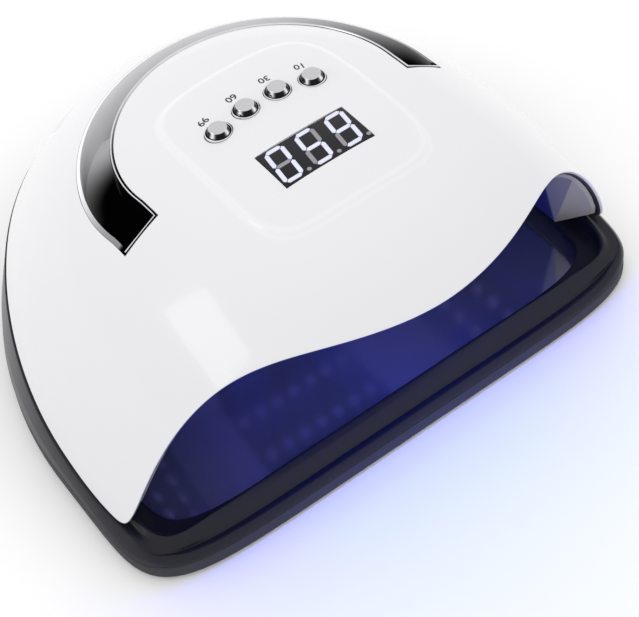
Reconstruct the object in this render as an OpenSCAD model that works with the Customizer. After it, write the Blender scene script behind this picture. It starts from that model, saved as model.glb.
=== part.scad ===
// Curing lamp for nails: a white domed cover over a black base ring, a faceted
// hand chamber lined with light emitters, a chrome-lined carrying slot, three
// digits, four timer buttons and a tray that lifts off.
// Millimetres. +Z up, the hand goes in from -Y, X is to the right of the hand.

/* [Outline] */
// Width of the base at its widest line
base_width = 230; // [222:1:238]
// From the shared centre forward to the outer edge of the sill
front_reach = 65; // [63:0.5:67]
// From the shared centre back to the rear edge of the base
rear_reach = 131.5; // [128:0.5:135]
// From the shared centre forward to the middle of the visor
visor_reach = 84.3; // [82:0.5:87]
// Height of the cover over the middle of the frame
crown_height = 110.8; // [109:0.5:115]
// Fall of the crown per millimetre toward the rear
crown_lean = 0.091; // [0.08:0.005:0.1]

/* [Cover] */
// Thickness of the white cover
cover_wall = 2.4; // [2:0.1:2.8]
// Rise of the control panel above the dome
panel_rise = 0.8; // [0.6:0.1:1.2]
// Half width of the control panel
panel_half_width = 34.5; // [33:0.5:36]
// Half depth of the control panel
panel_half_depth = 42; // [40:0.5:44]

/* [Carrying slot] */
// Radius of the slot's inner side
slot_radius = 54.2; // [53.2:0.2:55.2]
// Width of the slot
slot_width = 12; // [11:0.2:12.6]
// Thickness of the chrome lining
slot_lining = 1.4; // [1.2:0.1:1.6]
// Half width of the rear hand opening
rear_opening = 46; // [42:1:48]

/* [Controls] */
// Width of the digit block
display_width = 35.6; // [35:0.1:37]
// Depth of the digit block
display_depth = 18.4; // [18:0.1:19]
// Diameter of a button cap
button_diameter = 7.8; // [7.2:0.1:8]
// Width of the chrome ring around a cap
ring_width = 0.8; // [0.6:0.1:1]
// Height of a cap above the panel
button_height = 3.2; // [2.6:0.1:3.6]
// Travel of a button
button_travel = 0.5; // [0.3:0.05:0.6]

/* [Chamber] */
// Height of the chamber ceiling
ceiling_height = 81; // [79:0.5:82]
// Thickness of the chamber lining
chamber_wall = 1.6; // [1.4:0.1:1.8]
// Diameter of an emitter lens
lens_diameter = 5; // [4.6:0.1:5.4]

/* [Base and tray] */
// Height of the tray's outer band
tray_band = 8.2; // [7.6:0.1:8.6]
// Thickness of the tray floor
tray_floor = 2.4; // [2:0.1:2.6]
// Height of the front sill
sill_height = 15.5; // [14.5:0.5:16.5]
// Diameter of a tray magnet
magnet_diameter = 8; // [7:0.5:8]
// Diameter of a rubber foot
foot_diameter = 12; // [10:0.5:13]
// Bore of the power socket
socket_bore = 5.6; // [5.4:0.1:6]

/* [Hidden] */
$fn = 64;
// Clearances between parts
fit = 0.25;
slide_fit = 0.2;
foot_rise = 0.8;
// Shared centre of every plan curve, placed so that the part is centred front to back
cy = -(rear_reach - visor_reach) / 2;
dome_half_width = base_width / 2 - 2.8;
panel_soft = 1.3;
// Frame of the control panel: origin at the middle of the digits, tilted with the dome
tilt = 4.5;
display_y = cy - 14.8;
// Carrying slot
slot_cy = cy + 18.1;
slot_outer = slot_radius + slot_width;
slot_front = cy + 4.8;
// Heights of the base ring, and of the foot of the dome that the seam cuts off
ring_bottom = tray_band + foot_rise;
flange_top = ring_bottom + 2.4;
dome_foot = ring_bottom + 3.9;
// Underside of the handle bar and sill of the rear opening
handle_under = surface_z(0, slot_cy + slot_outer + 23.6);
handle_floor = seam_z(100) + 6.1;
passage_y = slot_cy + slot_radius;
// Emitters stand off the chamber's inner faces
board_lift = 6;
board_thick = 1.2;
// Button places on the panel: x, distance behind the digits
button_99_at = [-19.6, 28.8];
button_60_at = [-6.65, 31.2];
button_30_at = [6.65, 31.2];
button_10_at = [19.6, 28.8];
button_places = [button_99_at, button_60_at, button_30_at, button_10_at];
board_top = -10.5;
stem_bottom = -5.6;
board_under = board_top - 1.6;
boss_places = [[-26, -12], [26, -12], [-26, 36], [26, 36]];
post_places = [for (q = [[50, 0.86], [-3.5, 0.933]])
    let (r = dome_r(q[0]) * q[1])
    [r * cos(q[0]), cy + r * sin(q[0])]];
post_diameter = 6.4;
magnet_places = [[86, -40], [86, -140], [110, 60], [110, 120]];
foot_places = [[84, -38], [84, -142], [104, 58], [104, 122]];
socket_height = ring_bottom + 17;
socket_y = cy + rear_reach - 1.4;

function smooth(v) = let (c = max(0, min(1, v))) c * c * (3 - 2 * c);
function mix(a, b, f) = a + (b - a) * f;
function plan_r(t, a, bf, bb, nf, nb) =
    let (s = sin(t), n = s < 0 ? nf : nb, b = s < 0 ? bf : bb)
    1 / pow(pow(abs(cos(t)) / a, n) + pow(abs(s) / b, n), 1 / n);
function base_r(t) = plan_r(t, base_width / 2, front_reach, rear_reach, 6.6, 2.06);
function dome_r(t) = plan_r(t, dome_half_width, 142.5, rear_reach + 7, 2.52, 2.06);
function opening_r(t) =
    plan_r(t, base_width / 2 - 17, front_reach - 15.1, rear_reach - 37.9, 8, 3.2);
function panel_r(t) =
    plan_r(t, panel_half_width, panel_half_depth, panel_half_depth, 5, 5);
function fall(rho) = pow(max(1 - pow(rho, 2.692), 0), 1 / 1.352);
function dome_z(rho, y, d) =
    dome_foot + (crown_height - crown_lean * y - d - dome_foot) * fall(rho);
function dome_pt(t, rho, d, lift) =
    let (r = rho * (dome_r(t) - d), y = cy + r * sin(t))
    [r * cos(t), y, dome_z(rho, cy + rho * dome_r(t) * sin(t), d) + lift];
function surface_z(x, y) =
    let (t = atan2(y - cy, x), rho = norm([x, y - cy]) / dome_r(t))
    dome_z(rho, y, 0);
function post_top(p) =
    let (q = [p[0], p[1] - cy], o = p + q / norm(q) * post_diameter / 2)
    surface_z(o[0], o[1]) - 0.7;
function seam_z(y) = ring_bottom + 7.7 + 22.3 * smooth((y + 53.1) / 125);
function seam_search(t, lo, hi, n) =
    let (m = (lo + hi) / 2, y = cy + m * dome_r(t) * sin(t))
    n == 0 ? m :
    dome_z(m, y, 0) > seam_z(y) ? seam_search(t, m, hi, n - 1) :
    seam_search(t, lo, m, n - 1);
function seam_rho(t) = seam_search(t, 0.75, 1, 18);
function front_turn(t) = let (u = abs(t + 90)) min(u, 360 - u);
function trim_r(t) = visor_reach + 32.3 * pow(front_turn(t) / 67.5, 5.54);
function rim_rho(t) =
    pow(pow(trim_r(t) / dome_r(t), -30) + pow(seam_rho(t), -30), -1 / 30);

// Turns from the front middle round one side, closer together at the foot of the lip
turns = concat(
    [for (u = [0:5:50]) u],
    [53, 56, 58.5],
    [for (u = [60.5:1.75:78]) u],
    [for (u = [82:7:180]) u]
);
last = len(turns) - 1;
angles = concat(
    [for (i = [0:last]) -90 + turns[i]],
    [for (i = [last - 1:-1:1]) -90 - turns[i]]
);
count = len(angles);

// Closed skin between rings of points, each ring with one point per angle
function strip(a, b) = [
    for (j = [0:count - 1])
        let (k = (j + 1) % count)
        each [[a + j, b + j, b + k], [a + j, b + k, a + k]]
];
function fan_up(pole, ring) =
    [for (j = [0:count - 1]) [pole, ring + j, ring + (j + 1) % count]];
function fan_down(pole, ring) =
    [for (j = [0:count - 1]) [pole, ring + (j + 1) % count, ring + j]];

// Solid of the dome below depth d, used to trim whatever ends flush with it
module dome_core(d) {
    rings = 12;
    points = concat(
        [[0, cy, dome_z(0, cy, d)]],
        [for (k = [1:rings]) let (f = sin(90 * k / rings))
            for (t = angles) dome_pt(t, f, d, 0)],
        [[0, cy, dome_foot]]
    );
    faces = concat(
        fan_down(0, 1),
        [for (k = [0:rings - 2]) each strip(1 + (k + 1) * count, 1 + k * count)],
        fan_up(1 + rings * count, 1 + (rings - 1) * count)
    );
    polyhedron(points, faces);
}

// Skin of the cover: outer surface with the raised panel, inner surface, rolled rim
module cover_skin() {
    inside = [0.3, 0.62, 0.86];
    steps = 10;
    inner_steps = 8;
    outer_rings = concat(
        [for (f = inside) [for (t = angles)
            dome_pt(t, f * panel_r(t) / dome_r(t), 0, panel_rise)]],
        [[for (t = angles)
            dome_pt(t, (panel_r(t) - panel_soft) / dome_r(t), 0, panel_rise)]],
        [[for (t = angles) dome_pt(t, (panel_r(t) + panel_soft) / dome_r(t), 0, 0)]],
        [for (k = [1:steps]) let (f = sin(90 * k / steps)) [for (t = angles)
            dome_pt(t, mix((panel_r(t) + panel_soft) / dome_r(t), rim_rho(t), f), 0, 0)]]
    );
    inner_rings = concat(
        [for (k = [inner_steps:-1:1]) let (f = sin(90 * k / inner_steps)) [for (t = angles)
            dome_pt(t, mix(panel_r(t) / dome_r(t), rim_rho(t), f), cover_wall, 0)]],
        [[for (t = angles) dome_pt(t, panel_r(t) / dome_r(t), cover_wall, 0)]],
        [[for (t = angles) dome_pt(t, 0.5 * panel_r(t) / dome_r(t), cover_wall, 0)]]
    );
    rings = concat(outer_rings, inner_rings);
    total = len(rings);
    points = concat(
        [[0, cy, dome_z(0, cy, 0) + panel_rise]],
        [for (r = rings) each r],
        [[0, cy, dome_z(0, cy, cover_wall)]]
    );
    faces = concat(
        fan_down(0, 1),
        [for (k = [0:total - 2]) each strip(1 + (k + 1) * count, 1 + k * count)],
        fan_up(1 + total * count, 1 + (total - 1) * count)
    );
    polyhedron(points, faces);
}

module panel_frame() {
    translate([0, display_y, surface_z(0, display_y) + panel_rise])
        rotate([-tilt, 0, 0])
            children();
}

function panel_drop(p) =
    let (y = display_y + p[1] * cos(tilt))
    (surface_z(p[0], y) - surface_z(0, display_y)) + p[1] * sin(tilt);

// Open space of the carrying slot, grown all round by g: a curved band that opens
// behind the panel, deeper at the rear, and a passage under the handle to the rear
module slot_core(r, bottom) {
    translate([0, slot_cy, bottom]) {
        cylinder(r = r, h = 140 - bottom);
        translate([-0.996 * r, -40, 0])
            cube([2 * 0.996 * r, 40, 140 - bottom]);
    }
}
module slot_band(g, bottom) {
    difference() {
        slot_core(slot_outer + g, bottom);
        slot_core(slot_radius - g, bottom - 1);
    }
}
module slot_space(g) {
    intersection() {
        slot_band(g, 48);
        translate([-120, slot_front - g, 0])
            rotate([-11.3, 0, 0])
                translate([0, -40, ceiling_height + 2.4 - g])
                    cube([240, 160, 90]);
        translate([-120, slot_front - g, 0])
            cube([240, 160, 140]);
    }
    intersection() {
        slot_band(g, handle_under - 2 - g);
        translate([-rear_opening - g, passage_y - g, 0])
            cube([2 * (rear_opening + g), 130, 140]);
    }
    difference() {
        translate([rear_opening + g, 0, 0])
            rotate([90, 0, -90])
                linear_extrude(2 * (rear_opening + g))
                    polygon([
                        [-passage_y + g, handle_under + g],
                        [-cy - rear_reach - 18.5, handle_under + g],
                        [-cy - rear_reach - 18.5, handle_floor - 4 - g],
                        [-cy - rear_reach + 3.5, handle_floor - g],
                        [-passage_y + g, handle_under - 4 - g]
                    ]);
        slot_core(slot_radius - g, 0);
    }
}

module cover_bosses() {
    panel_frame()
        for (p = boss_places)
            translate([p[0], p[1], board_top])
                cylinder(d = 6, h = panel_drop(p) - 1.4 - panel_rise - board_top);
    for (p = post_places)
        for (side = [-1, 1])
            translate([side * p[0], p[1], flange_top + 0.1])
                cylinder(d = post_diameter, h = post_top(p) - flange_top - 0.1);
}

module top_cover() {
    color("white")
        difference() {
            union() {
                cover_skin();
                cover_bosses();
            }
            slot_space(slot_lining + fit);
            panel_frame() {
                cube([display_width + 2 * fit, display_depth + 2 * fit, 14], center = true);
                for (p = button_places)
                    translate([p[0], p[1], -12])
                        cylinder(d = button_diameter + 2 * (slide_fit + ring_width + fit), h = 20);
                for (p = boss_places)
                    translate([p[0], p[1], board_top - 1])
                        cylinder(d = 1.9, h = 6);
            }
            for (p = post_places)
                for (side = [-1, 1])
                    translate([side * p[0], p[1], flange_top - 1])
                        cylinder(d = 2.3, h = 9);
        }
}
top_cover();

// Ring profile of the black base: ledge under the cover at the sides and rear,
// beaded sill in front, with a flange inside that carries the chamber
module ring_skin() {
    outline = [for (t = angles)
        let (
            u = front_turn(t),
            w = smooth((u - 57) / 12),
            s = seam_rho(t) * dome_r(t),
            y = cy + s * sin(t),
            b = base_r(t),
            ledge = seam_z(y) - 0.9,
            wall = min(b - 0.3, s + 0.9),
            top = mix(sill_height, ledge + 1.7, w),
            inner = mix(b - 13.6, mix(s - 6.4, b - 4, smooth((ledge - ring_bottom - 8) / 12)), w)
        )
        [
            [b - 1.2, ring_bottom],
            [b - 0.2, ring_bottom + 0.5],
            [b - 0.2, ring_bottom + 0.9],
            [mix(b - 0.9, mix(b, wall, 0.3), w), mix(ring_bottom + 2.2, mix(ring_bottom, ledge, 0.4), w)],
            [mix(b - 2.4, mix(b, wall, 0.65), w), mix(ring_bottom + 3.1, mix(ring_bottom, ledge, 0.7), w)],
            [mix(b - 3.9, wall, w), mix(ring_bottom + 2.8, ledge - 0.3, w)],
            [mix(b - 5.2, wall - 0.4, w), mix(ring_bottom + 2, ledge, w)],
            [mix(b - 6.4, s - 1.8, w), mix(ring_bottom + 3.6, ledge, w)],
            [mix(b - 9.4, s - 3.2, w), mix(ring_bottom + 5.4, ledge, w)],
            [mix(b - 12, s - 4.8, w), top],
            [mix(b - 13, s - 6.2, w), mix(sill_height - 0.3, top, w)],
            [mix(b - 13.4, s - 6.4, w), mix(sill_height - 1.2, ledge - 0.4, w)],
            [inner, flange_top],
            [opening_r(t) + 0.6, flange_top],
            [opening_r(t), flange_top - 0.6],
            [opening_r(t), ring_bottom]
        ]
    ];
    rows = 16;
    points = [for (k = [0:rows - 1]) for (j = [0:count - 1])
        let (q = outline[j][k])
        [q[0] * cos(angles[j]), cy + q[0] * sin(angles[j]), q[1]]];
    faces = [for (k = [0:rows - 1]) each strip(k * count, ((k + 1) % rows) * count)];
    polyhedron(points, faces);
}

module at_polar(p) {
    translate([p[0] * cos(p[1]), cy + p[0] * sin(p[1]), 0])
        children();
}

module base_frame() {
    color("black")
        difference() {
            ring_skin();
            for (p = post_places)
                for (side = [-1, 1])
                    translate([side * p[0], p[1], 0]) {
                        translate([0, 0, flange_top + 0.05])
                            cylinder(d = post_diameter + 2 * fit, h = 30);
                        cylinder(d = 2.8, h = 24);
                        translate([0, 0, ring_bottom - 1])
                            cylinder(d = 5, h = 2.5);
                    }
            for (m = magnet_places)
                at_polar(m)
                    translate([0, 0, ring_bottom - 1])
                        cylinder(d = magnet_diameter + 2 * slide_fit, h = 2.1);
            translate([0, socket_y + 6, socket_height])
                rotate([90, 0, 0])
                    cylinder(d = 9 + 2 * slide_fit, h = 20);
            for (x = [-30:6:30])
                if (abs(x) > 10)
                    translate([x - 1, cy + rear_reach - 8, ring_bottom + 13])
                        cube([2, 30, 9]);
        }
}
base_frame();

module tray_skin() {
    outline = [for (t = angles) let (b = base_r(t)) [
        [b - 3, foot_rise],
        [b - 1, foot_rise + 0.5],
        [b - 0.1, foot_rise + 1.6],
        [b, foot_rise + 2.6],
        [b - 0.2, foot_rise + tray_band - 1.2],
        [b - 1, tray_band + 0.2],
        [b - 2, tray_band + 0.3],
        [b - 3.6, tray_band + 0.3],
        [b - 4, foot_rise + tray_floor]
    ]];
    rows = 9;
    points = concat(
        [for (k = [0:rows - 1]) for (j = [0:count - 1])
            let (q = outline[j][k])
            [q[0] * cos(angles[j]), cy + q[0] * sin(angles[j]), q[1]]],
        [[0, cy, foot_rise], [0, cy, foot_rise + tray_floor]]
    );
    faces = concat(
        fan_up(rows * count, 0),
        [for (k = [0:rows - 2]) each strip(k * count, (k + 1) * count)],
        fan_down(rows * count + 1, (rows - 1) * count)
    );
    polyhedron(points, faces);
}

module tray() {
    color("dimgray")
        difference() {
            union() {
                tray_skin();
                for (m = magnet_places)
                    at_polar(m)
                        translate([0, 0, foot_rise + 1])
                            cylinder(d = magnet_diameter + 3, h = tray_band - 1.2);
            }
            for (m = magnet_places)
                at_polar(m)
                    translate([0, 0, tray_band - 1.6])
                        cylinder(d = magnet_diameter, h = 4);
            for (f = foot_places)
                at_polar(f)
                    cylinder(d = foot_diameter, h = foot_rise + 0.8);
        }
}
tray();

module rubber_feet() {
    color("dimgray")
        for (f = foot_places)
            at_polar(f)
                cylinder(d = foot_diameter, h = foot_rise + 0.8);
}
rubber_feet();

module tray_magnets() {
    color("silver")
        for (m = magnet_places)
            at_polar(m)
                translate([0, 0, tray_band - 1.6])
                    cylinder(d = magnet_diameter, h = 2.2);
}
tray_magnets();

module steel_pads() {
    color("silver")
        for (m = magnet_places)
            at_polar(m)
                translate([0, 0, ring_bottom + 0.1])
                    cylinder(d = magnet_diameter, h = 1);
}
steel_pads();

module handle_liner() {
    color("gray")
        difference() {
            intersection() {
                slot_space(slot_lining);
                dome_core(0.3);
            }
            slot_space(0);
        }
}
handle_liner();

// Inner corners of the chamber, right half, from the flange up to the ceiling
half_base = base_width / 2 - 17;
foot_z = flange_top + 0.3;
rise = ceiling_height - foot_z;
slope_top = min(handle_under - 4, ceiling_height - 18);
section_front = [
    [half_base, foot_z], [0.93 * half_base, foot_z + 0.45 * rise],
    [0.663 * half_base, ceiling_height - 10], [0.347 * half_base, ceiling_height]
];
section_rear = [
    [0.97 * half_base, foot_z], [0.88 * half_base, foot_z + 0.42 * rise],
    [0.61 * half_base, ceiling_height - 12], [0.3 * half_base, ceiling_height - 2]
];
section_slope = [
    [0.85 * half_base, foot_z], [0.745 * half_base, foot_z + 0.32 * rise],
    [0.51 * half_base, slope_top - 8], [0.245 * half_base, slope_top]
];
section_back = [
    [0.53 * half_base, foot_z], [0.47 * half_base, handle_floor - 16],
    [0.32 * half_base, handle_floor - 9], [0.14 * half_base, handle_floor - 6]
];
front_y = cy - 26.4;
rear_y = cy + 0.2935 * rear_reach;
slope_y = cy + 0.502 * rear_reach;
back_y = cy + 0.6616 * rear_reach;
// Mouth of the chamber follows the rim of the cover from foot to foot
mouth_turns = [for (u = turns) if (u < 70) u];
mouth = concat(
    [for (i = [len(mouth_turns) - 1:-1:0]) -90 - mouth_turns[i]],
    [for (i = [1:len(mouth_turns) - 1]) -90 + mouth_turns[i]]
);

function whole(s, grow) = concat(
    [for (p = s) [-p[0] - grow, p[1] + (p[1] > foot_z ? grow : 0)]],
    [for (i = [3:-1:0]) [s[i][0] + grow, s[i][1] + (s[i][1] > foot_z ? grow : 0)]]
);
function row(s, y, grow) = [for (p = whole(s, grow)) [p[0], y, p[1]]];
function mouth_row(d) = [for (t = mouth) dome_pt(t, rim_rho(t) - 0.004, d, 0)];
function mouth_target(t) =
    let (u = front_turn(t), k = u < 27 ? 4 : u < 47 ? 5 : u < 59 ? 6 : 7)
    cos(t) >= 0 ? k : 7 - k;

// Lining: inner and outer sheets joined along the mouth and along the bottom edge
module chamber_skin() {
    n = len(mouth);
    a = concat(
        mouth_row(cover_wall + 0.3 + chamber_wall),
        row(section_front, front_y, 0), row(section_rear, rear_y, 0),
        row(section_slope, slope_y, 0), row(section_back, back_y, 0)
    );
    b = concat(
        mouth_row(cover_wall + 0.3),
        row(section_front, front_y, chamber_wall), row(section_rear, rear_y, chamber_wall),
        row(section_slope, slope_y, chamber_wall), row(section_back, back_y + chamber_wall, chamber_wall)
    );
    size = len(a);
    r = [for (k = [0:3]) n + 8 * k];
    mouth_faces = [for (j = [0:n - 2])
        let (
            s = r[0] + mouth_target(mouth[j]),
            e = r[0] + mouth_target(mouth[j + 1]),
            left = 2 * j < n - 1
        )
        each concat(
            [[j, j + 1, left ? e : s]],
            [for (q = [s:1:e - 1]) [left ? j : j + 1, q + 1, q]]
        )];
    section_faces = [for (k = [0:2]) for (i = [0:6])
        each [[r[k] + i, r[k] + i + 1, r[k + 1] + i + 1], [r[k] + i, r[k + 1] + i + 1, r[k + 1] + i]]];
    back_faces = [for (i = [1:6]) [r[3], r[3] + i, r[3] + i + 1]];
    sheet = concat(mouth_faces, section_faces, back_faces);
    edge = concat([for (j = [n - 1:-1:0]) j], [r[0], r[1], r[2], r[3]],
        [r[3] + 7, r[2] + 7, r[1] + 7, r[0] + 7]);
    m = len(edge);
    rim = [for (j = [0:m - 1]) let (p = edge[j], q = edge[(j + 1) % m])
        each [[p, q, size + q], [p, size + q, size + p]]];
    polyhedron(
        concat(a, b),
        concat(
            sheet,
            [for (f = sheet) [size + f[0], size + f[2], size + f[1]]],
            rim
        )
    );
}

// Local frames of the lined faces: x across, y along, z out of the chamber
function unit(v) = v / norm(v);
function frame_of(o, along, across) =
    let (z = unit(cross(unit(along), unit(across))), y = unit(along), x = cross(y, z))
    [
        [x[0], y[0], z[0], o[0]],
        [x[1], y[1], z[1], o[1]],
        [x[2], y[2], z[2], o[2]],
        [0, 0, 0, 1]
    ];
module top_face() {
    multmatrix(frame_of([0, (front_y + rear_y) / 2, ceiling_height - 1],
        [0, rear_y - front_y, -2], [-1, 0, 0]))
        children();
}
module side_face(side) {
    a = [section_front[1][0], front_y, section_front[1][1]];
    b = [section_front[2][0], front_y, section_front[2][1]];
    c = [section_rear[1][0], rear_y, section_rear[1][1]];
    d = [section_rear[2][0], rear_y, section_rear[2][1]];
    mirror([side < 0 ? 1 : 0, 0, 0])
        multmatrix(frame_of((a + b + c + d) / 4, c - a, b - a))
            children();
}
module rear_face() {
    translate([0, back_y, handle_floor - 17])
        rotate([-90, 0, 0])
            children();
}

module spread(columns, rows, across, along) {
    for (i = [0:columns - 1])
        for (j = [0:rows - 1])
            translate([(i - (columns - 1) / 2) * across, (j - (rows - 1) / 2) * along, 0])
                children();
}
module top_spread() {
    spread(7, 3, 8.6, 20)
        children();
}
module side_spread() {
    spread(2, 6, 15, 9.6)
        children();
}
module rear_spread() {
    spread(6, 2, 9.6, 8)
        children();
}
module lens() {
    translate([0, 0, 1])
        cylinder(d = lens_diameter, h = board_lift - 1);
    translate([0, 0, 1])
        sphere(d = lens_diameter);
}
module lens_hole() {
    translate([0, 0, -3])
        cylinder(d = lens_diameter + 2 * fit + 0.5, h = board_lift + 1);
}
module boss(h) {
    translate([0, 0, 0.8])
        cylinder(d = 5, h = h - 0.8);
}
module pilot() {
    translate([0, 0, board_lift - 4])
        cylinder(d = 1.7, h = 6);
}
module small_screw() {
    translate([0, 0, board_lift - 3.4])
        cylinder(d = 1.7, h = 3.4 + board_thick + 0.4);
    translate([0, 0, board_lift + board_thick])
        cylinder(d = 3.6, h = 1.2);
}

module eye_places() {
    for (x = [-7, 7])
        translate([x, -26, 0])
            children();
}
module top_bosses() {
    for (x = [-29, 29])
        for (y = [-26, 26])
            translate([x * 0.93, y, 0])
                children();
}
module side_bosses() {
    for (y = [-29, 29])
        translate([0, y, 0])
            children();
}
module rear_bosses() {
    for (x = [-29, 29])
        translate([x, -3, 0])
            children();
}

module chamber_liner() {
    color("midnightblue")
        difference() {
            union() {
                chamber_skin();
                top_face() top_bosses() boss(board_lift);
                for (side = [-1, 1])
                    side_face(side) side_bosses() boss(board_lift);
                rear_face() rear_bosses() boss(board_lift);
            }
            top_face() {
                top_spread() lens_hole();
                top_bosses() pilot();
                eye_places()
                    translate([0, 0, -3])
                        cylinder(d = 3.6, h = 8);
            }
            for (side = [-1, 1])
                side_face(side) {
                    side_spread() lens_hole();
                    side_bosses() pilot();
                }
            rear_face() {
                rear_spread() lens_hole();
                rear_bosses() pilot();
            }
        }
}
chamber_liner();

module board_plate(w, l) {
    translate([-w / 2, -l / 2, board_lift])
        cube([w, l, board_thick]);
}
module screw_way() {
    translate([0, 0, board_lift - 1])
        cylinder(d = 2.1, h = 4);
}
module led_board_top() {
    color("seagreen")
        top_face()
            difference() {
                board_plate(64, 62);
                top_bosses() screw_way();
            }
}
led_board_top();

module led_board_side(side) {
    color("seagreen")
        side_face(side)
            difference() {
                board_plate(24, 64);
                side_bosses() screw_way();
            }
}
module led_board_left() {
    led_board_side(-1);
}
led_board_left();

module led_board_right() {
    led_board_side(1);
}
led_board_right();

module led_board_rear() {
    color("seagreen")
        rear_face()
            difference() {
                board_plate(64, 18);
                rear_bosses() screw_way();
            }
}
led_board_rear();

module lenses_top() {
    color("lavender")
        top_face() top_spread() lens();
}
lenses_top();

module lenses_left() {
    color("lavender")
        side_face(-1) side_spread() lens();
}
lenses_left();

module lenses_right() {
    color("lavender")
        side_face(1) side_spread() lens();
}
lenses_right();

module lenses_rear() {
    color("lavender")
        rear_face() rear_spread() lens();
}
lenses_rear();

module sensor_eyes() {
    color("gray")
        top_face() eye_places() {
            translate([0, 0, 1])
                cylinder(d = 3, h = board_lift - 1);
            translate([0, 0, 1])
                sphere(d = 3);
        }
}
sensor_eyes();

module liner_screws() {
    color("silver") {
        top_face() top_bosses() small_screw();
        for (side = [-1, 1])
            side_face(side) side_bosses() small_screw();
        rear_face() rear_bosses() small_screw();
    }
}
liner_screws();

// Digits: seven bars each, leaning to the right
digit_height = 17;
digit_width = 7.9;
digit_pitch = 12.2;
bar = 1.55;
lean = 0.13;
bar_gap = 0.22;
face_drop = 0.4;
bar_top = -0.15;
// Bars in the order top, upper right, lower right, bottom, lower left, upper left, middle
digit_bars = [[1, 1, 1, 1, 1, 1, 0], [1, 0, 1, 1, 0, 1, 1], [1, 1, 1, 1, 0, 1, 1]];

// Outline of bar i, leaned to the right with the digit
function bar_points(i) =
    let (
        hw = (digit_width - bar) / 2,
        hh = (digit_height - bar) / 2,
        flat = i == 0 || i == 3 || i == 6,
        e = (flat ? hw : hh / 2) - bar_gap,
        h = bar / 2,
        x = flat ? 0 : (i < 3 ? hw : -hw),
        y = i == 0 ? hh : i == 3 ? -hh : i == 6 ? 0 : (i == 1 || i == 5) ? hh / 2 : -hh / 2,
        loop = [[-e, 0], [-e + h, h], [e - h, h], [e, 0], [e - h, -h], [-e + h, -h]]
    )
    [for (q = loop)
        let (u = x + (flat ? q[0] : -q[1]), v = y + (flat ? q[1] : q[0]))
        [u + lean * v, v]];
module one_bar(i) {
    linear_extrude(face_drop + bar_top)
        polygon(bar_points(i));
}
module digit_frame(k) {
    translate([(k - 1) * digit_pitch - 0.3, 0, -face_drop])
        children();
}
module display_module() {
    color("black")
        panel_frame() {
            translate([-display_width / 2, -display_depth / 2, -7.4])
                cube([display_width, display_depth, 7.4 - face_drop]);
            for (side = [-1, 1])
                for (x = [-6.35:2.54:6.35])
                    translate([x, side * 7.6, board_top])
                        cylinder(d = 0.6, h = 4);
        }
}
display_module();

module lit_segments() {
    color("lavender")
        panel_frame()
            for (k = [0:2])
                digit_frame(k)
                    for (i = [0:6])
                        if (digit_bars[k][i] == 1)
                            one_bar(i);
}
lit_segments();

module dim_segments() {
    color("gray")
        panel_frame()
            for (k = [0:2]) {
                digit_frame(k)
                    for (i = [0:6])
                        if (digit_bars[k][i] == 0)
                            one_bar(i);
                translate([(k - 1) * digit_pitch + 4.6, 0.8 - digit_height / 2, -face_drop])
                    cylinder(d = 1.6, h = face_drop + bar_top);
            }
}
dim_segments();

// Buttons: ring fixed in the cover, cap and plunger moving together
module at_button(p) {
    panel_frame()
        translate([p[0], p[1], 0])
            children();
}
module button_rings() {
    r = button_diameter / 2 + slide_fit;
    color("silver")
        for (p = button_places)
            at_button(p)
                translate([0, 0, panel_drop(p)])
                    rotate_extrude()
                        polygon([
                            [r, -3], [r + ring_width, -3], [r + ring_width, 0.15],
                            [r + ring_width - 0.25, 0.5], [r + 0.2, 0.5], [r, 0.25]
                        ]);
}
button_rings();

module cap(p) {
    r = button_diameter / 2;
    drop = panel_drop(p);
    color("silver")
        at_button(p)
            rotate_extrude()
                polygon([
                    [0, stem_bottom], [2.6, stem_bottom], [2.6, drop - 4],
                    [r + 0.4, drop - 4], [r + 0.4, drop - 3.4], [r, drop - 3.4],
                    [r, drop + button_height - 1.7], [r - 0.12, drop + button_height - 1.1],
                    [r - 0.4, drop + button_height - 0.55], [r - 0.75, drop + button_height - 0.15],
                    [r - 0.95, drop + button_height], [0, drop + button_height]
                ]);
}
module plunger(p) {
    color("black")
        at_button(p)
            translate([0, 0, board_top + 2])
                cylinder(d = 3.2, h = stem_bottom - board_top - 2);
}
module button_99() {
    cap(button_99_at);
}
button_99();
module button_60() {
    cap(button_60_at);
}
button_60();
module button_30() {
    cap(button_30_at);
}
button_30();
module button_10() {
    cap(button_10_at);
}
button_10();
module plunger_99() {
    plunger(button_99_at);
}
plunger_99();
module plunger_60() {
    plunger(button_60_at);
}
plunger_60();
module plunger_30() {
    plunger(button_30_at);
}
plunger_30();
module plunger_10() {
    plunger(button_10_at);
}
plunger_10();

module switches() {
    color("dimgray")
        for (p = button_places)
            at_button(p)
                translate([0, 0, board_top])
                    difference() {
                        translate([-3, -3, 0])
                            cube([6, 6, 3.4]);
                        translate([0, 0, 1.8 - button_travel])
                            cylinder(d = 3.2 + 2 * slide_fit, h = 4);
                    }
}
switches();

module control_board() {
    color("seagreen")
        panel_frame()
            difference() {
                translate([-30, -16, board_under])
                    cube([60, 56, board_top - board_under]);
                for (p = boss_places)
                    translate([p[0], p[1], board_under - 1])
                        cylinder(d = 2.4, h = 4);
            }
}
control_board();

module board_screws() {
    color("silver")
        panel_frame()
            for (p = boss_places) {
                translate([p[0], p[1], board_under - 1])
                    cylinder(d = 1.9, h = board_top - board_under + 5);
                translate([p[0], p[1], board_under - 1.3])
                    cylinder(d = 4, h = 1.3);
            }
}
board_screws();

module control_chips() {
    color("dimgray")
        panel_frame() {
            translate([-18, 12, board_top])
                cube([8, 8, 1.6]);
            translate([-2, 13, board_top])
                cube([5, 6, 1.5]);
            translate([-2, 21, board_top])
                cube([6, 3, 1.2]);
        }
}
control_chips();

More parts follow.
